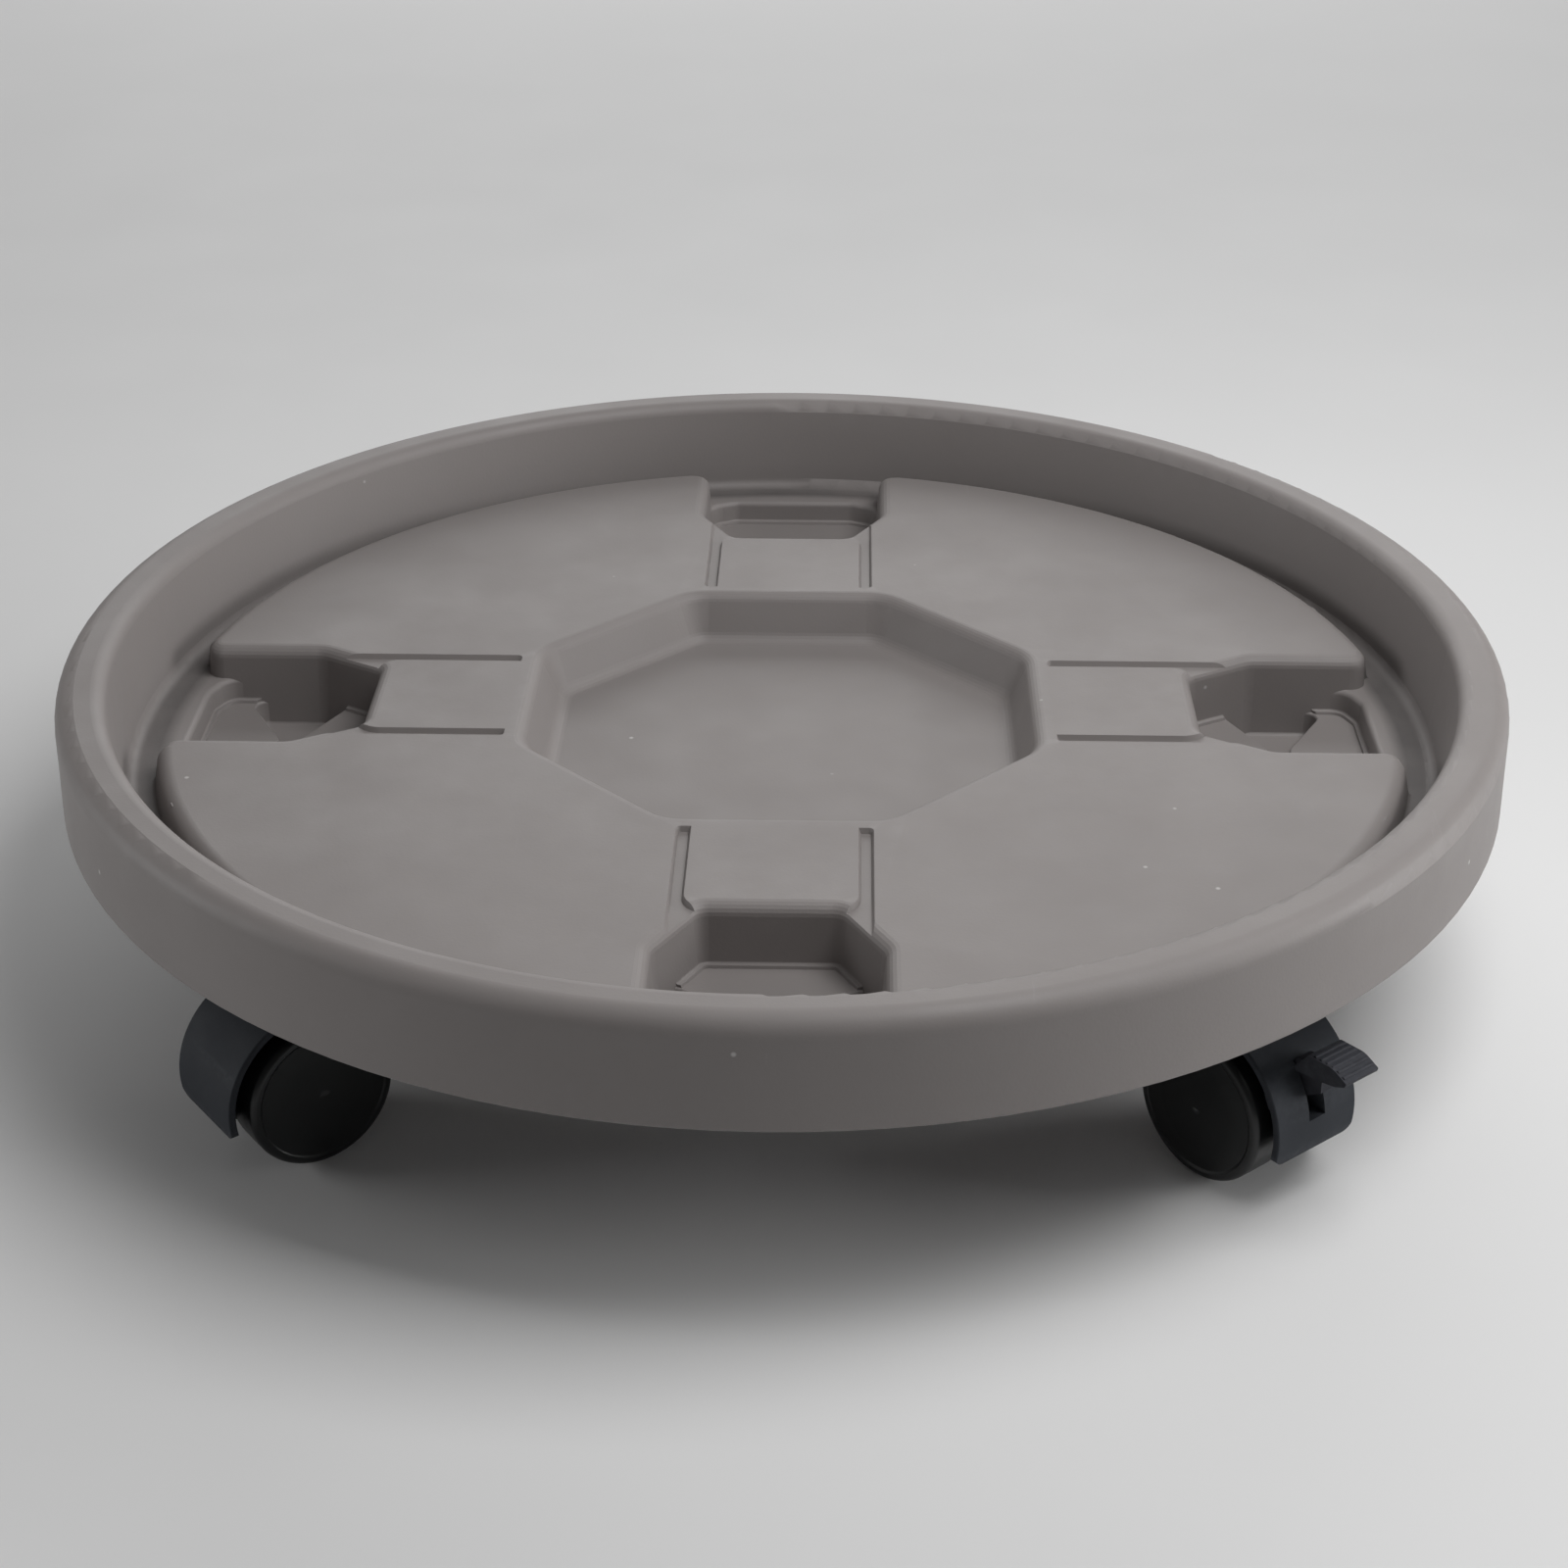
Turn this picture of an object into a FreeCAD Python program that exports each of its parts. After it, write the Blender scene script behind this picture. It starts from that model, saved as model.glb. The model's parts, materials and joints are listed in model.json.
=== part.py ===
import FreeCAD, Part
import math
import os

# Plant pot caddy: one moulded tray on four swivelling hooded twin-wheel casters.
# Millimetres, +Z up, origin on the floor under the centre of the tray.

# Tray heights above the floor
DECK_Z = 68.0
RIM_Z = 87.5
SKIRT_Z = 58.0
MOAT_Z = 58.4
POCKET_FLOOR_Z = 52.0
OCTAGON_FLOOR_Z = 54.5
WALL = 2.6

# Tray radii, from the outside in
SKIRT_R = 200.6
RIM_OUTER_R = 200.0
RIM_INNER_R = 186.8
MOAT_OUTER_R = 183.2
PLATFORM_FOOT_R = 176.0
PLATFORM_R = 174.0
PLATFORM_EDGE_ROUND = 4.4

# Octagon recess in the middle of the deck
OCTAGON_APOTHEM = 71.4
OCTAGON_WALL_RUN = 6.0
OCTAGON_CORNER_R = 13.0
OCTAGON_EDGE_ROUND = 2.4
OCTAGON_FLOOR_ROUND = 2.6

# Hand pocket on each axis of the tray, written for the one on +X
POCKET_COUNT = 4
POCKET_INNER_X = 117.0
POCKET_INNER_HALF = 18.0
POCKET_SHOULDER_X = 136.0
POCKET_HALF = 28.8
POCKET_LEDGE_X = 165.0
POCKET_END_X = 169.0
POCKET_END_HALF = 19.5
POCKET_MOUTH_X = 170.6
POCKET_MOUTH_HALF = 38.0
POCKET_OPEN_X = 181.0
POCKET_REACH_R = 179.5
POCKET_DRAFT = 0.0875
POCKET_EDGE_ROUND = 3.2
POCKET_FLOOR_ROUND = 0.5
POCKET_LIP_ROUND = 1.5
POCKET_STEP_Z = 51.2
POCKET_STEP_WIDTH = 1.2
WELL_Z = 44.0
WELL_NECK_HALF = 3.0

# Panel between the octagon and each pocket, framed by two shallow grooves
PANEL_HALF = 21.8
PANEL_END_X = 118.5
PANEL_CORNER_R = 7.0
GROOVE_WIDTH = 4.0
GROOVE_DEPTH = 1.5
GROOVE_SIDE_RUN = 0.7
GROOVE_START_X = 76.6

# Stiffening under the tray
RIB_THICK = 2.2
RIB_Z = 55.0
RIB_STEP_DEG = 22.5
RIB_INNER_R = 74.0
RIB_OUTER_R = 173.5
RING_RIB_R = 104.0
GUSSET_COUNT = 24
GUSSET_Z = 64.0
BOSS_R = 10.0
BOSS_Z = 50.0
BOSS_BORE_TOP_Z = 64.4

# Casters: where the swivel axes stand, and the way each hood points
STEM_CIRCLE_R = 152.0
CASTERS = {
    "front_left": (-135.0, -142.0, False),
    "front_right": (-45.0, -50.0, True),
    "rear_left": (135.0, 141.0, True),
    "rear_right": (45.0, 38.0, False),
}

# Caster, in its own frame: X from the swivel axis towards the axle, floor at 0
TRAIL = 19.0
WHEEL_R = 20.0
AXLE_Z = WHEEL_R
WHEEL_FACE_Y = 17.0
WHEEL_BACK_Y = 5.0
WHEEL_CORNER_R = 1.7
WHEEL_RIM_WALL = 2.8
WHEEL_HUB_R = 5.4
WHEEL_SPOKES = 6
AXLE_R = 2.5
AXLE_HALF = 13.4
RUNNING_GAP = 0.05

HOOD_R = 25.0
HOOD_WALL = 2.0
HOOD_HALF = 14.0
HOOD_LOW_Z = 14.0
HOOD_INNER_END_DEG = 128.0
HOOD_CORNER_R = 3.4
HOOD_EDGE_ROUND = 0.5
WEB_HALF = 4.7
WEB_R = 24.0
WEB_LOW_Z = 10.5
WHEEL_CLEAR_R = 20.9

HEAD_R = 7.5
HEAD_TOP_Z = 45.9
HEAD_LOW_Z = 28.0
PIN_R = 3.0
PIN_LOW_Z = 22.5
PIN_BORE_LOW_Z = 21.5
WASHER_Z = 46.0
WASHER_THICK = 0.8
COLLAR_R = 7.0
COLLAR_THICK = 2.0
STEM_R = 4.0
STEM_TOP_Z = 63.4
SOCKET_R = 6.0
SOCKET_FLANGE_R = 8.6
SOCKET_TOP_Z = 64.2
RING_Z = 57.0
RING_HEIGHT = 2.0
RING_GROOVE_R = 3.2
RING_SLOT = 1.6

# Brake lever, measured from the axle: forward is away from the swivel axis
LEVER_PIVOT = (15.5, 14.5)
LEVER_PIN_R = 1.0
LEVER_HALF = 5.8
LEVER_ARM_HALF = 2.3
LEVER_SLOT_HALF = 2.8
LEVER_SLOT_LOW = 3.4
LEVER_SLOT_HIGH = 17.8
LEVER_RIDGES = 6
SHOE_HALF = 12.5
SHOE_ANGLE_DEG = 28.0
SHOE_R = 21.85
SHOE_THICK = 1.3
SHOE_LENGTH = 4.0
SHOE_WINDOW_LOW_R = 19.4
SHOE_WINDOW_LENGTH = 7.0

Z_AXIS = FreeCAD.Vector(0, 0, 1)
Y_AXIS = FreeCAD.Vector(0, 1, 0)
ORIGIN = FreeCAD.Vector(0, 0, 0)


def on_level(z):
    """Placing function for an outline drawn on a horizontal plane."""
    return lambda a, b: FreeCAD.Vector(a, b, z)


def on_radius(a, b):
    """Placing function for a section drawn as radius and height."""
    return FreeCAD.Vector(a, 0, b)


def rounded_wire(corners, place):
    """Closed wire through corners (a, b, radius), each one rounded by its radius."""
    starts = []
    arcs = []
    ends = []
    for index, (a, b, radius) in enumerate(corners):
        here = FreeCAD.Vector(a, b, 0)
        before = FreeCAD.Vector(*corners[index - 1][:2], 0)
        after = FreeCAD.Vector(*corners[(index + 1) % len(corners)][:2], 0)
        back = (before - here).normalize()
        ahead = (after - here).normalize()
        half = back.getAngle(ahead) / 2
        trim = radius / math.tan(half)
        starts.append(here + back * trim)
        ends.append(here + ahead * trim)
        middle = (back + ahead).normalize()
        arcs.append(here + middle * (radius / math.sin(half) - radius))
    edges = []
    for index, (a, b, radius) in enumerate(corners):
        start, middle, end = (place(p.x, p.y) for p in (starts[index], arcs[index], ends[index]))
        following = starts[(index + 1) % len(corners)]
        if radius:
            edges.append(Part.Arc(start, middle, end).toShape())
        edges.append(Part.LineSegment(end, place(following.x, following.y)).toShape())
    return Part.Wire(edges)


def inset(corners, distance):
    """Counter-clockwise corners moved inwards by a distance, outwards if negative."""
    moved = []
    for index, (a, b, radius) in enumerate(corners):
        before = corners[index - 1]
        after = corners[(index + 1) % len(corners)]
        into = FreeCAD.Vector(a - before[0], b - before[1], 0).normalize()
        out_of = FreeCAD.Vector(after[0] - a, after[1] - b, 0).normalize()
        turn = into.x * out_of.y - into.y * out_of.x
        shift = (Z_AXIS.cross(into) + Z_AXIS.cross(out_of)) * (distance / (1 + into.dot(out_of)))
        side = 1 if turn > 0 else -1
        moved.append((a + shift.x, b + shift.y, radius - side * distance))
    return moved


def column(corners, levels):
    """Solid whose outline is inset by a different distance at each height."""
    wires = [rounded_wire(inset(corners, distance), on_level(z)) for z, distance in levels]
    return Part.makeLoft(wires, True, True)


def recess_levels(floor_z, top_z, slope, floor_round, edge_round, steps=5):
    """Heights and insets of a drafted recess with a rounded floor edge and mouth."""
    quarter = [math.radians(90.0 * step / steps) for step in range(steps + 1)]
    levels = []
    for angle in quarter:
        z = floor_z + floor_round * (1 - math.cos(angle))
        levels.append((z, slope * (top_z - z) + floor_round * (1 - math.sin(angle))))
    for angle in quarter:
        z = top_z - edge_round + edge_round * math.sin(angle)
        levels.append((z, slope * (top_z - z) - edge_round * (1 - math.cos(angle))))
    levels.append((top_z + 3.0, -edge_round))
    return levels


def revolved(corners):
    """Solid of revolution about Z from a section of (radius, height, rounding)."""
    return Part.Face(rounded_wire(corners, on_radius)).revolve(ORIGIN, Z_AXIS, 360)


def tube(outer_r, inner_r, low_z, high_z):
    ring = Part.makeCylinder(outer_r, high_z - low_z, FreeCAD.Vector(0, 0, low_z))
    return ring.cut(Part.makeCylinder(inner_r, high_z - low_z, FreeCAD.Vector(0, 0, low_z)))


def turned(shape, degrees):
    copy = shape.copy()
    copy.rotate(ORIGIN, Z_AXIS, degrees)
    return copy


def around(shape, count):
    return [turned(shape, 360.0 * index / count) for index in range(count)]


# Tray --------------------------------------------------------------------

def dish():
    """Thin-walled disc: skirt, rolled rim, inner wall, moat and raised platform."""
    slope = RIM_INNER_R - MOAT_OUTER_R
    under_deck = DECK_Z - WALL
    under_moat = MOAT_Z - WALL
    return revolved([
        (SKIRT_R, SKIRT_Z, 0.8),
        (RIM_OUTER_R, RIM_Z, 5.4),
        (RIM_INNER_R, RIM_Z, 4.0),
        (MOAT_OUTER_R, MOAT_Z, 3.0),
        (PLATFORM_FOOT_R, MOAT_Z, 1.0),
        (PLATFORM_R, DECK_Z, PLATFORM_EDGE_ROUND),
        (0, DECK_Z, 0),
        (0, under_deck, 0),
        (PLATFORM_R - WALL, under_deck, PLATFORM_EDGE_ROUND - WALL),
        (PLATFORM_FOOT_R - WALL, under_moat, 1.0),
        (MOAT_OUTER_R + WALL, under_moat, 3.0),
        (MOAT_OUTER_R + WALL + slope, RIM_Z - WALL, 1.6),
        (RIM_OUTER_R - WALL, RIM_Z - WALL, 3.0),
        (SKIRT_R - WALL, SKIRT_Z, 0.8),
    ])


def platform_envelope():
    """Everything inside the platform's outer face, to trim the pocket walls."""
    low = MOAT_Z - WALL
    return revolved([
        (0, low, 0),
        (PLATFORM_FOOT_R, low, 0),
        (PLATFORM_FOOT_R, MOAT_Z, 0),
        (PLATFORM_R, DECK_Z, PLATFORM_EDGE_ROUND),
        (0, DECK_Z, 0),
    ])


def octagon_corners():
    reach = OCTAGON_APOTHEM / math.cos(math.radians(22.5))
    angles = [math.radians(22.5 + 45.0 * index) for index in range(8)]
    return [(reach * math.cos(a), reach * math.sin(a), OCTAGON_CORNER_R) for a in angles]


def octagon_recess():
    slope = OCTAGON_WALL_RUN / (DECK_Z - OCTAGON_FLOOR_Z)
    levels = recess_levels(OCTAGON_FLOOR_Z, DECK_Z, slope, OCTAGON_FLOOR_ROUND, OCTAGON_EDGE_ROUND)
    return column(octagon_corners(), levels)


def octagon_cup():
    levels = [(OCTAGON_FLOOR_Z - WALL, OCTAGON_WALL_RUN - WALL), (DECK_Z - 1.0, -WALL)]
    return column(octagon_corners(), levels)


def pocket_upper_corners():
    """Upper part of a hand pocket: it runs out through the platform's edge."""
    lower_half = [
        (POCKET_INNER_X, -POCKET_INNER_HALF, 4.5),
        (POCKET_SHOULDER_X, -POCKET_HALF, 7.0),
        (POCKET_MOUTH_X - 1.0, -POCKET_HALF, 4.4),
        (POCKET_MOUTH_X, -POCKET_MOUTH_HALF, 4.4),
        (POCKET_OPEN_X, -POCKET_MOUTH_HALF, 5.0),
    ]
    return lower_half + [(x, -y, r) for x, y, r in reversed(lower_half)]


def pocket_deep_corners():
    """Deep part of a hand pocket: closed at its outer end by a low chamfered wall."""
    lower_half = [
        (POCKET_INNER_X, -POCKET_INNER_HALF, 4.5),
        (POCKET_SHOULDER_X, -POCKET_HALF, 7.0),
        (POCKET_LEDGE_X, -POCKET_HALF, 7.0),
        (POCKET_END_X, -POCKET_END_HALF, 5.0),
    ]
    return lower_half + [(x, -y, r) for x, y, r in reversed(lower_half)]


def pocket_well_corners():
    """Deepest part of a hand pocket: an hourglass, narrow along the pocket's middle."""
    lower_half = [
        (138.0, -WELL_NECK_HALF, 3.0),
        (125.0, -POCKET_HALF, 5.0),
        (161.0, -POCKET_HALF, 5.0),
        (147.0, -WELL_NECK_HALF, 3.0),
    ]
    return lower_half + [(x, -y, r) for x, y, r in reversed(lower_half)]


def pocket_recess():
    upper_levels = recess_levels(MOAT_Z, DECK_Z, POCKET_DRAFT, 0.0, POCKET_EDGE_ROUND)[5:]
    reach = Part.makeCylinder(POCKET_REACH_R, DECK_Z, FreeCAD.Vector(0, 0, MOAT_Z - 1.0))
    upper = column(pocket_upper_corners(), upper_levels).common(reach)
    at_moat = POCKET_DRAFT * (DECK_Z - MOAT_Z)
    levels = recess_levels(POCKET_FLOOR_Z, MOAT_Z, POCKET_DRAFT, POCKET_FLOOR_ROUND, POCKET_LIP_ROUND)
    flared = column(pocket_deep_corners(), [(z, at_moat + distance) for z, distance in levels[:-1]])
    at_floor = POCKET_DRAFT * (DECK_Z - POCKET_FLOOR_Z)
    at_well = POCKET_DRAFT * (DECK_Z - WELL_Z)
    shaft = column(pocket_upper_corners(), [(WELL_Z, at_well), (MOAT_Z, at_moat)])
    step_inset = at_floor + POCKET_STEP_WIDTH
    step_levels = [(POCKET_STEP_Z, step_inset + 0.3), (POCKET_FLOOR_Z + 0.1, step_inset)]
    step = column(pocket_deep_corners(), step_levels)
    well_levels = recess_levels(WELL_Z, POCKET_STEP_Z + 0.1, POCKET_DRAFT, 1.2, 0.8)
    well = column(pocket_well_corners(), [(z, at_floor + distance) for z, distance in well_levels])
    return upper.fuse([flared.common(shaft), step, well.common(shaft)])


def pocket_cup(envelope):
    upper_levels = [
        (MOAT_Z - WALL, POCKET_DRAFT * (DECK_Z - MOAT_Z) - WALL),
        (DECK_Z - 1.0, -WALL),
    ]
    upper = column(pocket_upper_corners(), upper_levels).common(envelope)
    deep_levels = [
        (POCKET_FLOOR_Z - WALL, POCKET_DRAFT * (DECK_Z - POCKET_FLOOR_Z) - WALL),
        (MOAT_Z - 1.0, POCKET_DRAFT * (DECK_Z - MOAT_Z) - WALL),
    ]
    well_levels = [
        (WELL_Z - WALL, POCKET_DRAFT * (DECK_Z - WELL_Z) - WALL),
        (POCKET_FLOOR_Z - 1.0, POCKET_DRAFT * (DECK_Z - POCKET_FLOOR_Z) - WALL),
    ]
    deep = column(pocket_deep_corners(), deep_levels)
    return upper.fuse([deep, column(pocket_well_corners(), well_levels)])


def panel_grooves():
    """The channel that frames one panel on both sides and round its two outer corners."""
    low = DECK_Z - GROOVE_DEPTH
    reach = PANEL_HALF + GROOVE_WIDTH
    channel = column([
        (GROOVE_START_X, -reach, 1.4),
        (POCKET_SHOULDER_X, -reach, 1.4),
        (POCKET_SHOULDER_X, reach, 1.4),
        (GROOVE_START_X, reach, 1.4),
    ], [(low, GROOVE_SIDE_RUN), (DECK_Z, 0.0), (DECK_Z + 2.0, -0.6)])
    panel = column([
        (GROOVE_START_X - 8.0, -PANEL_HALF, 1.0),
        (PANEL_END_X, -PANEL_HALF, PANEL_CORNER_R),
        (PANEL_END_X, PANEL_HALF, PANEL_CORNER_R),
        (GROOVE_START_X - 8.0, PANEL_HALF, 1.0),
    ], [(low - 0.1, -GROOVE_SIDE_RUN), (DECK_Z, 0.0), (DECK_Z + 2.1, 0.6)])
    return channel.cut(panel)


def ribs():
    """Radial ribs and one ring rib under the deck, clear of the pockets."""
    into_deck = DECK_Z - 1.0
    length = RIB_OUTER_R - RIB_INNER_R
    corner = FreeCAD.Vector(RIB_INNER_R, -RIB_THICK / 2, RIB_Z)
    rib = Part.makeBox(length, RIB_THICK, into_deck - RIB_Z, corner)
    quarter_turns = [RIB_STEP_DEG * index for index in range(1, 4)]
    radial = [turned(rib, start + 90.0 * quarter) for quarter in range(4) for start in quarter_turns]
    ring = tube(RING_RIB_R + RIB_THICK / 2, RING_RIB_R - RIB_THICK / 2, RIB_Z, into_deck)
    return radial + [ring]


def gussets():
    """Short webs across the hollow of the rolled rim, kept inside its rounded corners."""
    top = RIM_Z - WALL / 2
    inner_low = MOAT_OUTER_R + WALL
    inner_top = RIM_INNER_R + WALL / 2
    outer = RIM_OUTER_R - WALL / 2
    corners = [(inner_low, GUSSET_Z, 0), (outer, GUSSET_Z, 0), (outer, top, 4.4), (inner_top, top, 3.0)]
    side = Part.Face(rounded_wire(corners, lambda a, b: FreeCAD.Vector(a, -RIB_THICK / 2, b)))
    web = side.extrude(FreeCAD.Vector(0, RIB_THICK, 0))
    return around(turned(web, 180.0 / GUSSET_COUNT), GUSSET_COUNT)


def stem_positions():
    places = {}
    for name, (bearing, heading, braked) in CASTERS.items():
        angle = math.radians(bearing)
        places[name] = FreeCAD.Vector(math.cos(angle), math.sin(angle), 0) * STEM_CIRCLE_R
    return places


def tray():
    envelope = platform_envelope()
    bosses = []
    bores = []
    for place in stem_positions().values():
        base = FreeCAD.Vector(place.x, place.y, BOSS_Z)
        bosses.append(Part.makeCylinder(BOSS_R, DECK_Z - 1.0 - BOSS_Z, base))
        bores.append(Part.makeCylinder(SOCKET_R, BOSS_BORE_TOP_Z - BOSS_Z, base))
    added = [octagon_cup()] + around(pocket_cup(envelope), POCKET_COUNT) + ribs() + gussets() + bosses
    body = dish().fuse(added)
    grooves = around(panel_grooves(), POCKET_COUNT)
    removed = [octagon_recess()] + around(pocket_recess(), POCKET_COUNT) + grooves + bores
    for tool in removed:
        body = body.cut(tool)
    return body.removeSplitter()


# Caster ------------------------------------------------------------------

def ring_about_stem(outer_r, inner_r, low_z, high_z, rounding=0.0):
    """Washer-like ring about the swivel axis."""
    return revolved([
        (inner_r, low_z, 0),
        (outer_r, low_z, rounding),
        (outer_r, high_z, rounding),
        (inner_r, high_z, 0),
    ])


def stem_socket():
    """Flanged sleeve that is pressed into the tray's boss."""
    bore = STEM_R + RUNNING_GAP
    flange_low = WASHER_Z + WASHER_THICK + COLLAR_THICK
    return revolved([
        (bore, flange_low, 0.4),
        (SOCKET_FLANGE_R, flange_low, 0.4),
        (SOCKET_FLANGE_R, BOSS_Z, 0),
        (SOCKET_R, BOSS_Z, 0),
        (SOCKET_R, SOCKET_TOP_Z, 0.6),
        (bore, SOCKET_TOP_Z, 0),
    ])


def swivel_stem():
    """Steel stem: plug with a ring groove above the collar, swivel pin below it."""
    collar_low = WASHER_Z + WASHER_THICK
    collar_high = collar_low + COLLAR_THICK
    return revolved([
        (0, PIN_LOW_Z, 0),
        (PIN_R, PIN_LOW_Z, 0.8),
        (PIN_R, collar_low, 0),
        (COLLAR_R, collar_low, 0.4),
        (COLLAR_R, collar_high, 0.4),
        (STEM_R, collar_high, 0),
        (STEM_R, RING_Z - 0.1, 0),
        (RING_GROOVE_R, RING_Z - 0.1, 0),
        (RING_GROOVE_R, RING_Z + RING_HEIGHT + 0.1, 0),
        (STEM_R, RING_Z + RING_HEIGHT + 0.1, 0),
        (STEM_R, STEM_TOP_Z, 1.2),
        (0, STEM_TOP_Z, 0),
    ])


def grip_ring():
    """Split spring ring in the stem's groove."""
    ring = ring_about_stem(STEM_R + 0.04, RING_GROOVE_R + 0.05, RING_Z, RING_Z + RING_HEIGHT, 0.2)
    corner = FreeCAD.Vector(0, -RING_SLOT / 2, RING_Z - 1.0)
    return ring.cut(Part.makeBox(STEM_R * 2, RING_SLOT, RING_HEIGHT + 2.0, corner))


def thrust_washer():
    return ring_about_stem(COLLAR_R, PIN_R + 0.06, WASHER_Z, WASHER_Z + WASHER_THICK, 0.2)


def across(radius, half_width, forward=0.0, up=0.0):
    """Cylinder along the axle's direction, centred on the caster's middle plane."""
    base = FreeCAD.Vector(TRAIL + forward, -half_width, AXLE_Z + up)
    return Part.makeCylinder(radius, 2 * half_width, base, Y_AXIS)


def side_prism(corners, half_width):
    """Prism across the caster, from side-view corners (forward, up, rounding) about the axle."""
    def place(a, b):
        return FreeCAD.Vector(TRAIL + a, -half_width, AXLE_Z + b)
    return Part.Face(rounded_wire(corners, place)).extrude(Y_AXIS * (2 * half_width))


def hood_window():
    """Side-view region that keeps the hood's covered sweep and drops the open part."""
    low = HOOD_LOW_Z - AXLE_Z
    far = 2 * HOOD_R
    end = math.radians(HOOD_INNER_END_DEG)
    return side_prism([
        (0, low, 0),
        (far, low, 0),
        (far, far, 0),
        (far * math.cos(end), far * math.sin(end), 0),
        (0, 0, 0),
    ], HOOD_HALF)


def hood_front_view():
    """Straight-on outline of the hood, with its two low corners rounded."""
    high = AXLE_Z + 2 * HOOD_R
    corners = [
        (-HOOD_HALF, HOOD_LOW_Z, HOOD_CORNER_R),
        (HOOD_HALF, HOOD_LOW_Z, HOOD_CORNER_R),
        (HOOD_HALF, high, 0),
        (-HOOD_HALF, high, 0),
    ]
    face = Part.Face(rounded_wire(corners, lambda a, b: FreeCAD.Vector(TRAIL, a, b)))
    return face.extrude(FreeCAD.Vector(2 * HOOD_R, 0, 0))


def hood_band():
    """Curved mudguard over the top and the outer side of the wheels."""
    band = across(HOOD_R, HOOD_HALF).cut(across(HOOD_R - HOOD_WALL, HOOD_HALF + 1.0))
    rims = [e for e in band.Edges if e.Curve.TypeId == "Part::GeomCircle"]
    band = band.makeFillet(HOOD_EDGE_ROUND, rims)
    band = band.common(hood_window())
    behind = Part.makeBox(3 * HOOD_R, 2 * HOOD_HALF, 3 * HOOD_R,
                          FreeCAD.Vector(TRAIL - 3 * HOOD_R, -HOOD_HALF, 0))
    return band.common(hood_front_view().fuse(behind))


def hood_web():
    """Middle web between the two wheels; it carries the axle and the swivel pin."""
    disc = across(WEB_R, WEB_HALF)
    low = WEB_LOW_Z - AXLE_Z
    keep = side_prism([
        (-TRAIL - HEAD_R + 1.0, low + 9.0, 4.0),
        (-8.0, low, 6.0),
        (8.0, low, 6.0),
        (WEB_R, low + 5.0, 1.0),
        (WEB_R, WEB_R, 1.0),
        (-TRAIL - HEAD_R + 1.0, WEB_R, 1.0),
    ], WEB_HALF + 1.0)
    return disc.common(keep)


def hood_head():
    """Round head that stands on the hood about the swivel axis."""
    height = HEAD_TOP_Z - HEAD_LOW_Z
    head = Part.makeCylinder(HEAD_R, height, FreeCAD.Vector(0, 0, HEAD_LOW_Z))
    top = [e for e in head.Edges if e.BoundBox.ZMin > HEAD_TOP_Z - 0.1]
    head = head.makeFillet(0.8, top)
    return head.cut(across(WHEEL_CLEAR_R, HEAD_R + 1.0))


def hood(braked):
    shell = hood_band().fuse([hood_web(), hood_head()])
    bore_height = HEAD_TOP_Z + 1.0 - PIN_BORE_LOW_Z
    base = FreeCAD.Vector(0, 0, PIN_BORE_LOW_Z)
    shell = shell.cut(Part.makeCylinder(PIN_R + RUNNING_GAP, bore_height, base))
    shell = shell.cut(across(AXLE_R, WEB_HALF + 1.0))
    if braked:
        shell = shell.cut(lever_slot())
        shell = shell.cut(shoe_window())
        shell = shell.cut(across(LEVER_PIN_R, WEB_HALF + 1.0, *LEVER_PIVOT))
    return shell.removeSplitter()


def axle():
    """Steel axle, chamfered at both ends."""
    pin = across(AXLE_R, AXLE_HALF)
    ends = [e for e in pin.Edges if e.Curve.TypeId == "Part::GeomCircle"]
    return pin.makeChamfer(0.5, ends)


def wheel(side):
    """One moulded wheel: slightly domed face, hollow back, hub with a blind bore."""
    face = WHEEL_FACE_Y
    back = WHEEL_BACK_Y
    web = 2.4
    shell = revolved([
        (0, back + 0.4, 0),
        (WHEEL_R - 0.1, back, 0.6),
        (WHEEL_R, (face + back) / 2, 0),
        (WHEEL_R, face - 0.6, WHEEL_CORNER_R),
        (WHEEL_R - 2.3, face - 0.3, 0.4),
        (WHEEL_R - 2.8, face - 0.7, 0.3),
        (WHEEL_R - 8.0, face - 0.35, 12.0),
        (0, face, 0),
    ])
    hollow = tube(WHEEL_R - WHEEL_RIM_WALL, WHEEL_HUB_R, back - 1.0, face - web - 0.6)
    length = WHEEL_R - WHEEL_RIM_WALL - WHEEL_HUB_R + 2.0
    corner = FreeCAD.Vector(WHEEL_HUB_R - 1.0, -0.7, back + 1.4)
    spoke = Part.makeBox(length, 1.4, face - web - back, corner)
    for rib in around(spoke, WHEEL_SPOKES):
        hollow = hollow.cut(rib)
    bore_depth = AXLE_HALF + 0.6 - back + 1.0
    bore = Part.makeCylinder(AXLE_R + RUNNING_GAP, bore_depth, FreeCAD.Vector(0, 0, back - 1.0))
    body = shell.cut(hollow).cut(bore)
    body.rotate(ORIGIN, FreeCAD.Vector(1, 0, 0), -90 * side)
    body.translate(FreeCAD.Vector(TRAIL, 0, AXLE_Z))
    return body


# Brake -------------------------------------------------------------------

def lever_slot():
    """Slot through the hood's wall and the web, where the lever's arm moves."""
    pivot_x, pivot_z = LEVER_PIVOT
    return side_prism([
        (pivot_x - 3.4, pivot_z - 3.2, 2.6),
        (pivot_x + 1.6, LEVER_SLOT_LOW, 0.3),
        (2 * HOOD_R, LEVER_SLOT_LOW, 0.3),
        (2 * HOOD_R, LEVER_SLOT_HIGH, 0.3),
        (pivot_x - 3.4, LEVER_SLOT_HIGH, 0.3),
    ], LEVER_SLOT_HALF)


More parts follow.
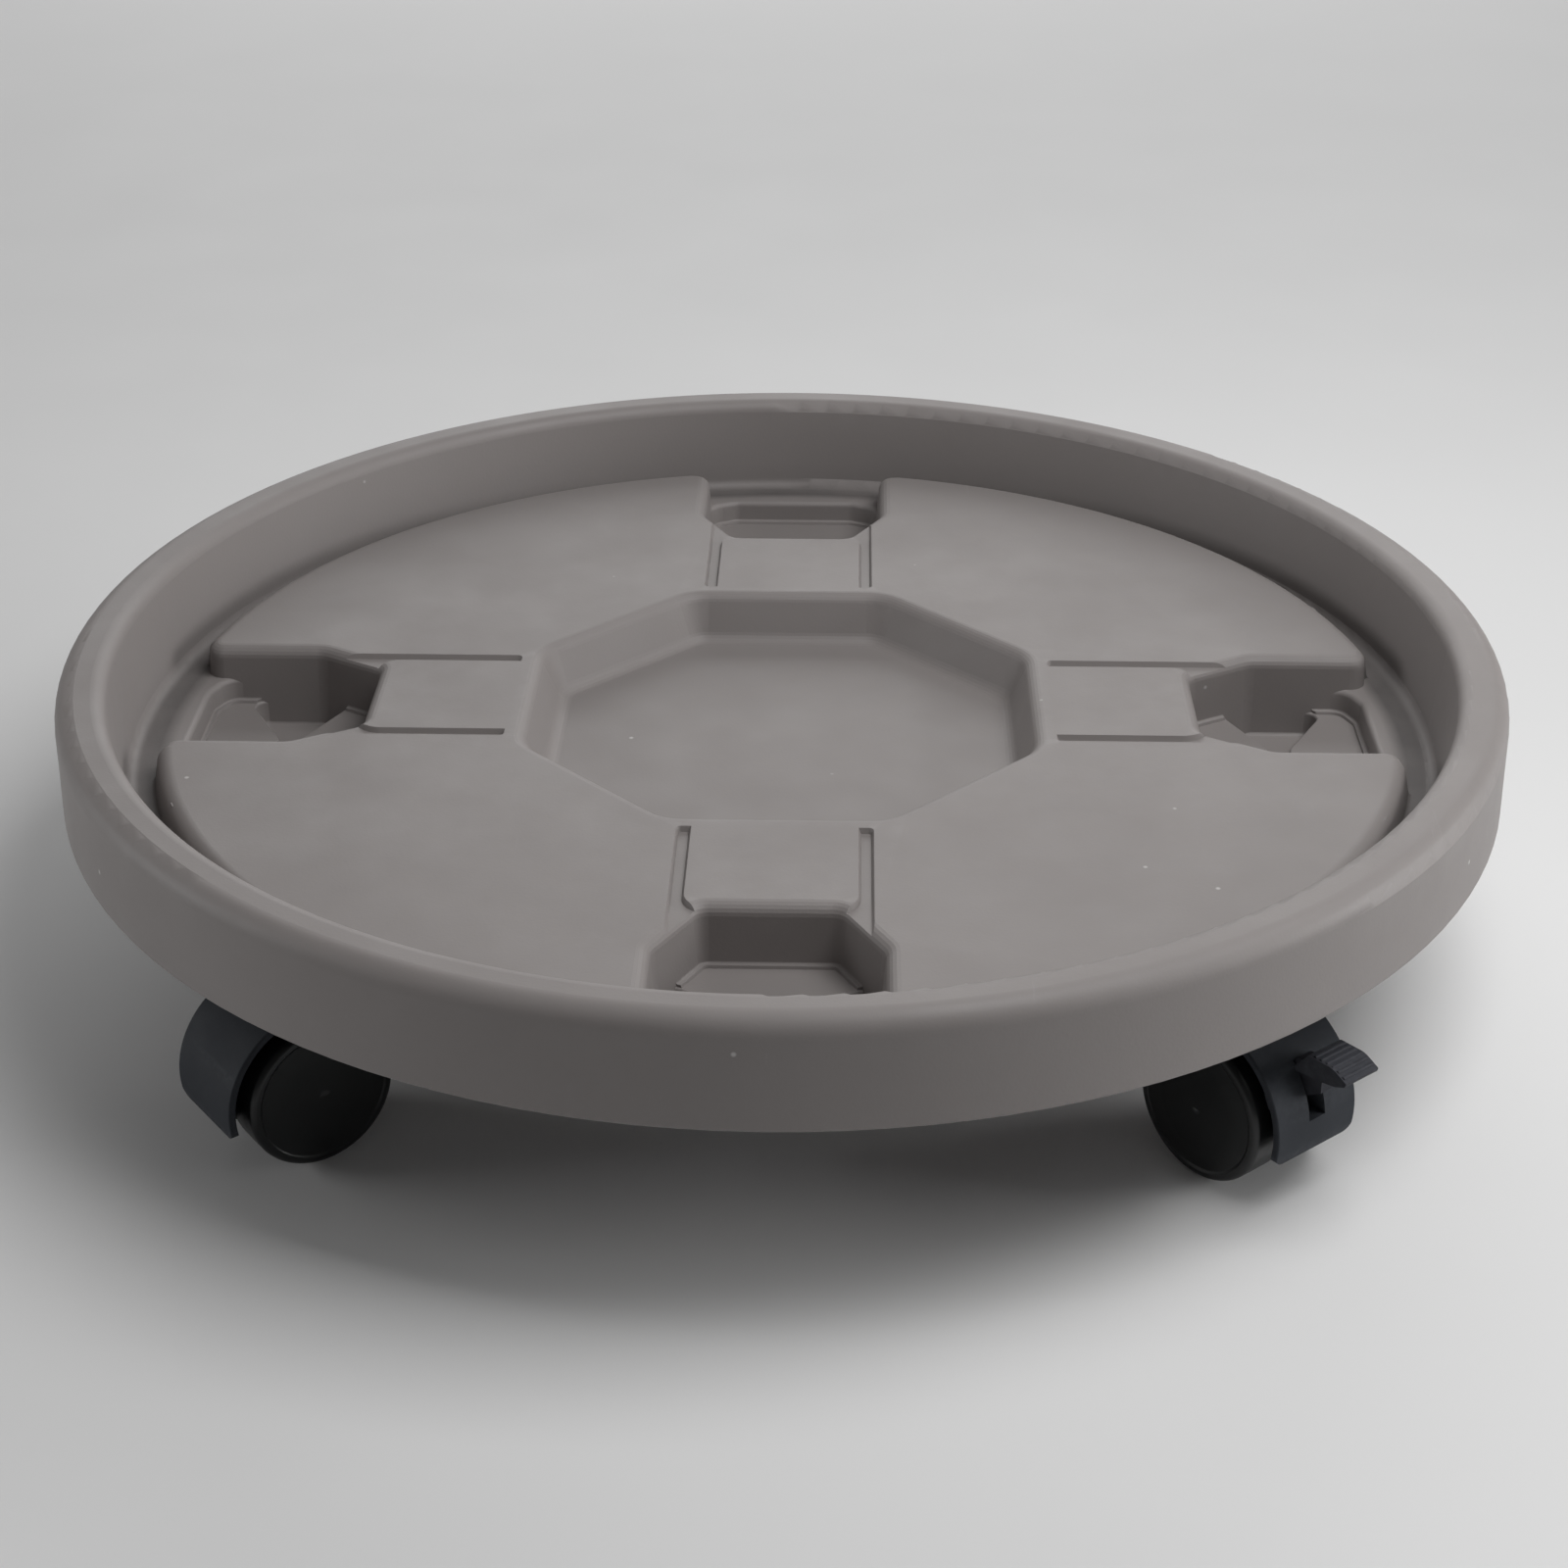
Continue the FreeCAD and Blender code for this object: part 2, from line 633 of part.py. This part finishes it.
def brake_lever():
    """Ribbed foot pedal, narrow arm through the slot, and a shoe bar behind the hood."""
    pedal = side_prism([
        (19.8, 17.8, 0.6),
        (28.0, 18.4, 3.0),
        (33.6, 19.4, 2.0),
        (36.6, 20.8, 0.5),
        (37.0, 21.9, 0.4),
        (32.4, 24.1, 6.0),
        (24.6, 23.9, 1.0),
    ], LEVER_HALF)
    for index in range(LEVER_RIDGES):
        forward = 26.4 + 1.8 * index
        up = 24.03 - 0.004 * (forward - 28.4) ** 3
        pedal = pedal.fuse(across(0.55, LEVER_HALF - 0.5, forward, up - 0.2))
    pivot_x, pivot_z = LEVER_PIVOT
    arm = side_prism([
        (pivot_x - 0.6, pivot_z - 1.6, 0.4),
        (18.4, 8.6, 0.8),
        (21.2, 8.8, 0.6),
        (26.8, 12.4, 0.3),
        (26.8, 20.2, 0.3),
        (18.6, 18.9, 0.3),
    ], LEVER_ARM_HALF)
    eye = across(2.3, LEVER_ARM_HALF, pivot_x, pivot_z)
    lever = pedal.fuse([arm, eye, shoe_bar()])
    lever = lever.cut(across(LEVER_PIN_R + RUNNING_GAP, LEVER_ARM_HALF + 1.0, pivot_x, pivot_z))
    return lever.removeSplitter()


def radial_bar(low_r, high_r, length, half_width):
    """Bar across the caster, square to the spoke that points at the shoe."""
    corner = FreeCAD.Vector(low_r, -half_width, -length / 2)
    bar = Part.makeBox(high_r - low_r, 2 * half_width, length, corner)
    bar.rotate(ORIGIN, Y_AXIS, -SHOE_ANGLE_DEG)
    bar.translate(FreeCAD.Vector(TRAIL, 0, AXLE_Z))
    return bar


def shoe_bar():
    """Bar between the hood and the treads; it is pushed on to both wheels."""
    half = SHOE_THICK / 2
    return radial_bar(SHOE_R - half, SHOE_R + half, SHOE_LENGTH, SHOE_HALF)


def shoe_window():
    """Opening in the web that the shoe bar passes through."""
    high_r = HOOD_R - HOOD_WALL - 0.05
    return radial_bar(SHOE_WINDOW_LOW_R, high_r, SHOE_WINDOW_LENGTH, WEB_HALF + 1.0)


def brake_pin():
    return across(LEVER_PIN_R, WEB_HALF - 0.1, *LEVER_PIVOT)


def caster(name, braked):
    """All the pieces of one caster, in the caster's own frame."""
    pieces = {
        "stem_socket": stem_socket(),
        "swivel_stem": swivel_stem(),
        "grip_ring": grip_ring(),
        "thrust_washer": thrust_washer(),
        "hood": hood(braked),
        "axle": axle(),
        "wheel_a": wheel(-1),
        "wheel_b": wheel(1),
    }
    if braked:
        pieces["brake_lever"] = brake_lever()
        pieces["brake_pin"] = brake_pin()
    return {name + "_" + piece: shape for piece, shape in pieces.items()}


def main():
    nodes = {"tray": tray()}
    places = stem_positions()
    for name, (bearing, heading, braked) in CASTERS.items():
        for node, shape in caster(name, braked).items():
            shape.rotate(ORIGIN, Z_AXIS, heading)
            shape.translate(places[name])
            nodes[node] = shape
    os.makedirs("parts", exist_ok=True)
    for node, shape in nodes.items():
        if not shape.isValid() or len(shape.Solids) != 1:
            print("check", node, shape.isValid(), len(shape.Solids))
        shape.exportStep("parts/" + node + ".step")
    print(len(nodes), "nodes")


main()
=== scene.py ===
import json
import math
import bpy
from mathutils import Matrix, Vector


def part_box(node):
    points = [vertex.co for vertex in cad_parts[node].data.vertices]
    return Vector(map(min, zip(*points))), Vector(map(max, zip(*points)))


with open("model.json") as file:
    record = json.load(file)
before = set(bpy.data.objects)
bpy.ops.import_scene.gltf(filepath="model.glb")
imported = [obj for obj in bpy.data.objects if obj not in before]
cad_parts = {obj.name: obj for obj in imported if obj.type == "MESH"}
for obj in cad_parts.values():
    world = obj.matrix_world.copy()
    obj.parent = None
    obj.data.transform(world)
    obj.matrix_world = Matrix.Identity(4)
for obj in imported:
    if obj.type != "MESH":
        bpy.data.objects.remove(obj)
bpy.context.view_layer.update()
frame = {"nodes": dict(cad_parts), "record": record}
NODES = frame["nodes"]
SLOT_OF = {part["node"]: part["material_slot"] for part in frame["record"]["subparts"]}

# The tray, in metres, worked out from the frame
TRAY_LOW, TRAY_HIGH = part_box("tray")
SKIRT_R = (TRAY_HIGH.x - TRAY_LOW.x) / 2
DECK_Z = frame["record"]["mounts"][0]["pos_m"][2]

# Camera: it stands 3.61 rim radii in front of the tray's axis and 1.78 above the deck
CAMERA_UNIT = 0.2
CAMERA_BACK = 3.6132 * CAMERA_UNIT
CAMERA_UP = 1.7799 * CAMERA_UNIT
CAMERA_ASIDE = 0.0027 * CAMERA_UNIT
CAMERA_TURN = math.radians(1.371)
CAMERA_PITCH = math.radians(27.99)
LENS = 65.0


# Node helpers --------------------------------------------------------------

class Graph:
    """A material's node tree, with one short call for each kind of node used here."""

    def __init__(self, name):
        self.material = bpy.data.materials.new(name)
        self.material.use_nodes = True
        self.tree = self.material.node_tree
        self.shader = self.tree.nodes["Principled BSDF"]
        self.place = self.add("ShaderNodeTexCoord").outputs["Object"]

    def add(self, kind, **settings):
        node = self.tree.nodes.new(kind)
        for key, value in settings.items():
            setattr(node, key, value)
        return node

    def feed(self, socket, value):
        if isinstance(value, bpy.types.NodeSocket):
            self.tree.links.new(value, socket)
        else:
            socket.default_value = value

    def stretched(self, scale):
        node = self.add("ShaderNodeMapping")
        self.feed(node.inputs["Vector"], self.place)
        node.inputs["Scale"].default_value = scale
        return node.outputs["Vector"]

    def noise(self, scale, detail=3.0, roughness=0.55, distortion=0.0, vector=None):
        node = self.add("ShaderNodeTexNoise")
        self.feed(node.inputs["Vector"], vector or self.place)
        self.feed(node.inputs["Scale"], scale)
        self.feed(node.inputs["Detail"], detail)
        self.feed(node.inputs["Roughness"], roughness)
        self.feed(node.inputs["Distortion"], distortion)
        return node.outputs["Fac"]

    def cells(self, scale, output="Distance", vector=None, **settings):
        node = self.add("ShaderNodeTexVoronoi", **settings)
        self.feed(node.inputs["Vector"], vector or self.place)
        self.feed(node.inputs["Scale"], scale)
        return node.outputs[output]

    def ramp(self, value, *stops):
        """Smooth remap of a value: each stop is (position, grey level)."""
        node = self.add("ShaderNodeValToRGB")
        elements = node.color_ramp.elements
        while len(elements) < len(stops):
            elements.new(0.5)
        for element, (position, level) in zip(elements, stops):
            element.position = position
            element.color = (level, level, level, 1.0)
        self.feed(node.inputs["Fac"], value)
        return node.outputs["Color"]

    def maths(self, operation, a, b=0.0):
        node = self.add("ShaderNodeMath", operation=operation)
        self.feed(node.inputs[0], a)
        self.feed(node.inputs[1], b)
        return node.outputs[0]

    def blend(self, factor, a, b, blend_type="MIX"):
        node = self.add("ShaderNodeMix", data_type="RGBA", blend_type=blend_type)
        self.feed(node.inputs["Factor"], factor)
        self.feed(node.inputs["A"], a)
        self.feed(node.inputs["B"], b)
        return node.outputs["Result"]

    def bump(self, height, strength, distance, normal=None):
        node = self.add("ShaderNodeBump")
        self.feed(node.inputs["Height"], height)
        node.inputs["Strength"].default_value = strength
        node.inputs["Distance"].default_value = distance
        if normal:
            self.feed(node.inputs["Normal"], normal)
        return node.outputs["Normal"]

    def axes(self):
        split = self.add("ShaderNodeSeparateXYZ")
        self.feed(split.inputs["Vector"], self.place)
        return [split.outputs[axis] for axis in "XYZ"]

    def ring(self, *stops):
        """Remap of the distance from the Z axis, in metres."""
        x, y, _ = self.axes()
        squares = self.maths("ADD", self.maths("MULTIPLY", x, x), self.maths("MULTIPLY", y, y))
        return self.ramp(self.maths("SQRT", squares), *stops)

    def height(self, *stops):
        """Remap of the height, in metres."""
        return self.ramp(self.axes()[2], *stops)

    def edges(self, low, high):
        """1 on convex edges and 0 on flats."""
        return self.ramp(self.add("ShaderNodeNewGeometry").outputs["Pointiness"], (low, 0.0), (high, 1.0))

    def finish(self, colour, roughness, normal, **constants):
        self.feed(self.shader.inputs["Base Color"], colour)
        self.feed(self.shader.inputs["Roughness"], roughness)
        self.feed(self.shader.inputs["Normal"], normal)
        for name, value in constants.items():
            self.shader.inputs[name.replace("_", " ")].default_value = value
        return self.material


def rgb(red, green, blue):
    return (red, green, blue, 1.0)


# Materials -----------------------------------------------------------------

def tray_plastic():
    """Matt taupe moulding: cloudy flow marks, grain, dust specks, rubbed edges, and painted shade in the
    moat.
    """
    g = Graph("tray_plastic")
    clouds = g.noise(7.0, detail=4.0, distortion=0.6)
    mottle = g.noise(90.0, detail=3.0)
    base = g.blend(clouds, rgb(0.217, 0.198, 0.192), rgb(0.253, 0.232, 0.225))
    base = g.blend(g.ramp(mottle, (0.35, 0.0), (0.68, 0.35)), base, rgb(0.231, 0.214, 0.210))
    rubbed = g.maths("MULTIPLY", g.edges(0.505, 0.56), g.ramp(g.noise(160.0), (0.35, 0.2), (0.7, 0.9)))
    base = g.blend(g.maths("MULTIPLY", rubbed, 0.35), base, rgb(0.36, 0.345, 0.34))
    cell = g.cells(95.0)
    lottery = g.ramp(g.cells(95.0, output="Color"), (0.80, 0.0), (0.82, 1.0))
    speck = g.maths("MULTIPLY", g.ramp(cell, (0.03, 1.0), (0.075, 0.0)), lottery)
    base = g.blend(g.maths("MULTIPLY", speck, 0.75), base, rgb(0.58, 0.56, 0.55))
    scuffs = g.noise(1.0, detail=5.0, roughness=0.7, vector=g.stretched((420.0, 26.0, 120.0)))
    patches = g.ramp(clouds, (0.45, 0.0), (0.65, 1.0))
    scuff = g.maths("MULTIPLY", g.ramp(scuffs, (0.66, 0.0), (0.76, 1.0)), patches)
    base = g.blend(g.maths("MULTIPLY", scuff, 0.22), base, rgb(0.36, 0.35, 0.345))
    # Painted shade: the moat ring just below the deck is blended towards near black, standing in for the
    # shade that falls in the moat.
    inner, foot, middle, outer = (SKIRT_R * share for share in (0.855, 0.873, 0.895, 0.92))
    moat = g.ring((inner, 0.0), (foot, 1.0), (middle, 0.8), (outer, 0.0))
    low = g.height((DECK_Z - 0.008, 1.0), (DECK_Z - 0.002, 0.0))
    moat_shade = g.maths("MULTIPLY", g.maths("MULTIPLY", moat, low), g.ramp(mottle, (0.2, 0.75), (0.8, 1.0)))
    base = g.blend(g.maths("MULTIPLY", moat_shade, 0.72), base, rgb(0.030, 0.028, 0.027))
    rough = g.ramp(g.noise(38.0, detail=4.0), (0.3, 0.50), (0.75, 0.62))
    grain = g.noise(1300.0, detail=2.0)
    normal = g.bump(grain, 0.18, 0.00018)
    normal = g.bump(g.noise(34.0, detail=2.0), 0.10, 0.0009, normal)
    return g.finish(base, rough, normal, Specular_IOR_Level=0.42)


def dark_plastic(name, dark, light):
    """Matt slate moulding of the hoods and pedals."""
    g = Graph(name)
    base = g.blend(g.noise(46.0, detail=4.0, distortion=0.4), dark, light)
    rubbed = g.maths("MULTIPLY", g.edges(0.51, 0.60), g.ramp(g.noise(500.0), (0.4, 0.1), (0.7, 0.8)))
    base = g.blend(g.maths("MULTIPLY", rubbed, 0.35), base, rgb(0.09, 0.094, 0.105))
    dust = g.ramp(g.noise(210.0, detail=5.0, roughness=0.75), (0.62, 0.0), (0.86, 0.5))
    base = g.blend(g.maths("MULTIPLY", dust, 0.22), base, rgb(0.09, 0.09, 0.095))
    rough = g.ramp(g.noise(120.0), (0.3, 0.62), (0.75, 0.74))
    normal = g.bump(g.noise(1700.0, detail=2.0), 0.22, 0.00015)
    return g.finish(base, rough, normal, Specular_IOR_Level=0.12)


def wheel_plastic():
    """Black nylon, semi-gloss, with dust and fine scratches."""
    g = Graph("wheel_plastic")
    base = g.blend(g.noise(60.0, detail=4.0), rgb(0.0055, 0.006, 0.0062), rgb(0.0095, 0.0105, 0.011))
    dust = g.ramp(g.noise(330.0, detail=5.0, roughness=0.8), (0.60, 0.0), (0.82, 0.6))
    base = g.blend(g.maths("MULTIPLY", dust, 0.25), base, rgb(0.055, 0.052, 0.05))
    scratches = g.noise(1.0, detail=4.0, vector=g.stretched((900.0, 900.0, 60.0)))
    base = g.blend(g.ramp(scratches, (0.70, 0.0), (0.80, 0.12)), base, rgb(0.06, 0.06, 0.06))
    rough = g.ramp(g.noise(90.0, detail=4.0), (0.3, 0.30), (0.75, 0.44))
    normal = g.bump(g.noise(1500.0, detail=2.0), 0.10, 0.0001)
    return g.finish(base, rough, normal, Specular_IOR_Level=0.45)


def nylon():
    """Plain black nylon of the stem sockets."""
    g = Graph("socket_nylon")
    base = g.blend(g.noise(120.0), rgb(0.016, 0.016, 0.018), rgb(0.028, 0.028, 0.03))
    rough = g.ramp(g.noise(300.0), (0.3, 0.40), (0.75, 0.55))
    return g.finish(base, rough, g.bump(g.noise(1200.0), 0.1, 0.0001))


def steel(name, dark, light, low_rough, high_rough):
    """Bright turned steel, with fine rings and small spots of tarnish."""
    g = Graph(name)
    rings = g.noise(1.0, detail=3.0, vector=g.stretched((60.0, 60.0, 5200.0)))
    base = g.blend(rings, dark, light)
    spots = g.ramp(g.noise(420.0, detail=4.0), (0.62, 0.0), (0.80, 0.7))
    base = g.blend(spots, base, rgb(0.20, 0.18, 0.16))
    rough = g.ramp(g.noise(260.0, detail=3.0), (0.3, low_rough), (0.75, high_rough))
    return g.finish(base, rough, g.bump(rings, 0.08, 0.0001), Metallic=1.0)


def floor_paint():
    """Pale studio floor."""
    g = Graph("studio_floor")
    base = g.blend(g.noise(3.0), rgb(0.77, 0.77, 0.77), rgb(0.79, 0.79, 0.79))
    rough = g.ramp(g.noise(12.0), (0.3, 0.62), (0.7, 0.7))
    return g.finish(base, rough, g.bump(g.noise(400.0), 0.02, 0.0001))


def dress_nodes():
    slots = {
        "tray_plastic": tray_plastic(),
        "hood_plastic": dark_plastic("hood_plastic", rgb(0.030, 0.033, 0.039), rgb(0.042, 0.046, 0.053)),
        "lever_plastic": dark_plastic("lever_plastic", rgb(0.030, 0.031, 0.037), rgb(0.044, 0.045, 0.053)),
        "wheel_plastic": wheel_plastic(),
        "socket_nylon": nylon(),
        "plated_steel": steel("plated_steel", rgb(0.50, 0.50, 0.51), rgb(0.66, 0.66, 0.66), 0.24, 0.38),
        "spring_steel": steel("spring_steel", rgb(0.20, 0.20, 0.22), rgb(0.32, 0.32, 0.34), 0.28, 0.42),
    }
    for name, node in NODES.items():
        node.data.materials.clear()
        node.data.materials.append(slots[SLOT_OF[name]])


# Stage ---------------------------------------------------------------------

def floor():
    size = 40.0
    mesh = bpy.data.meshes.new("studio_floor")
    corners = [(-size, -size, 0), (size, -size, 0), (size, size, 0), (-size, size, 0)]
    mesh.from_pydata(corners, [], [(0, 1, 2, 3)])
    slab = bpy.data.objects.new("studio_floor", mesh)
    bpy.context.scene.collection.objects.link(slab)
    mesh.materials.append(floor_paint())


def area_light(name, place, aim, size, power):
    light = bpy.data.lights.new(name, "AREA")
    light.shape = "RECTANGLE"
    light.size, light.size_y = size
    light.energy = power
    lamp = bpy.data.objects.new(name, light)
    bpy.context.scene.collection.objects.link(lamp)
    lamp.location = place
    lamp.rotation_euler = (Vector(aim) - Vector(place)).to_track_quat("-Z", "Y").to_euler()


def lights():
    middle = (0.0, 0.0, DECK_Z)
    area_light("overhead", (0.32, -0.12, 0.75), middle, (0.5, 0.5), 4.15)
    area_light("overhead_right", (0.8, -0.6, 1.4), middle, (0.9, 0.9), 1.8)
    area_light("back_wall", (0.0, 1.9, 0.9), middle, (2.0, 1.0), 15.0)
    area_light("right_side", (1.7, 0.0, 0.4), middle, (0.9, 0.7), 13.3)
    area_light("left_side", (-1.7, 0.0, 0.4), middle, (0.9, 0.7), 8.6)
    world = bpy.data.worlds.new("studio")
    bpy.context.scene.world = world
    world.use_nodes = True
    background = world.node_tree.nodes["Background"]
    background.inputs["Color"].default_value = (1.0, 1.0, 1.0, 1.0)
    background.inputs["Strength"].default_value = 0.06


def camera():
    data = bpy.data.cameras.new("camera")
    data.lens = LENS
    data.sensor_width = 36.0
    data.clip_start = 0.01
    cam = bpy.data.objects.new("camera", data)
    bpy.context.scene.collection.objects.link(cam)
    cosine, sine = math.cos(CAMERA_TURN), math.sin(CAMERA_TURN)
    cam.location = (
        CAMERA_ASIDE * cosine + CAMERA_BACK * sine,
        CAMERA_ASIDE * sine - CAMERA_BACK * cosine,
        DECK_Z + CAMERA_UP,
    )
    cam.rotation_euler = (math.pi / 2 - CAMERA_PITCH, 0.0, CAMERA_TURN)
    bpy.context.scene.camera = cam


dress_nodes()
floor()
lights()
camera()
bpy.context.scene.view_settings.view_transform = "Standard"
